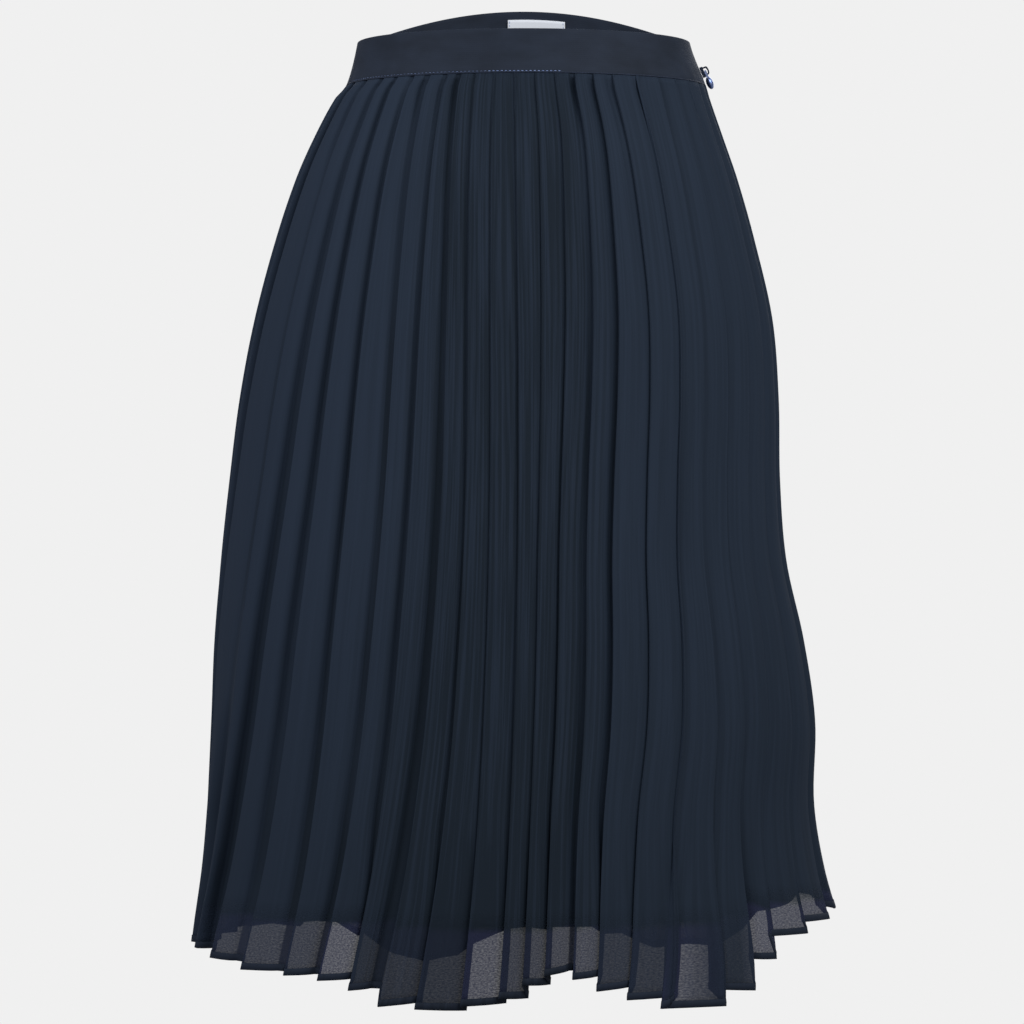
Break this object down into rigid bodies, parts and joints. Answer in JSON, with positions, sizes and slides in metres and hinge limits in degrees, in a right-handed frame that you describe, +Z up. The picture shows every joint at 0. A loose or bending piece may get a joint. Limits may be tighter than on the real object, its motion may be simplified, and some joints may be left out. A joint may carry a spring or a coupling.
{
  "type": "pleated midi skirt",
  "caption": "Semi-sheer pleated midi skirt with a plain flat waistband, a shorter lining and a side zip, in the hollow shape it takes when worn.",
  "frame": {"origin": "middle of the waist opening, at half the height of the front of the waistband, where the waist holds the skirt", "axes": "+Z up, the front faces -Y, +X to the wearer's left, where the zip is"},
  "size_m": [0.5137, 0.3913, 0.7943],
  "materials": {
    "band_crepe": "matt",
    "sheer_chiffon": "matt, sheer",
    "lining_cloth": "soft sheen",
    "label_tape": "smooth",
    "zip_tape": "matt",
    "bright_metal": "polished"
  },
  "bodies": {
    "skirt": {"waistband": "band_crepe", "front_panel": "sheer_chiffon", "back_panel": "sheer_chiffon", "lining_front": "lining_cloth", "lining_back": "lining_cloth", "label": "label_tape", "zip_tape": "zip_tape", "zip_slider": "bright_metal", "band_eye": "bright_metal", "band_hook": "bright_metal"},
    "zip_pull": {"zip_pull": "bright_metal"}
  },
  "joints": [
    {"name": "pull_hinge", "type": "hinge", "parent": "skirt", "child": "zip_pull", "pos_m": [0.1452, 0, -0.00506], "axis": [0, -1, 0], "range_deg": [0, 165]}
  ]
}
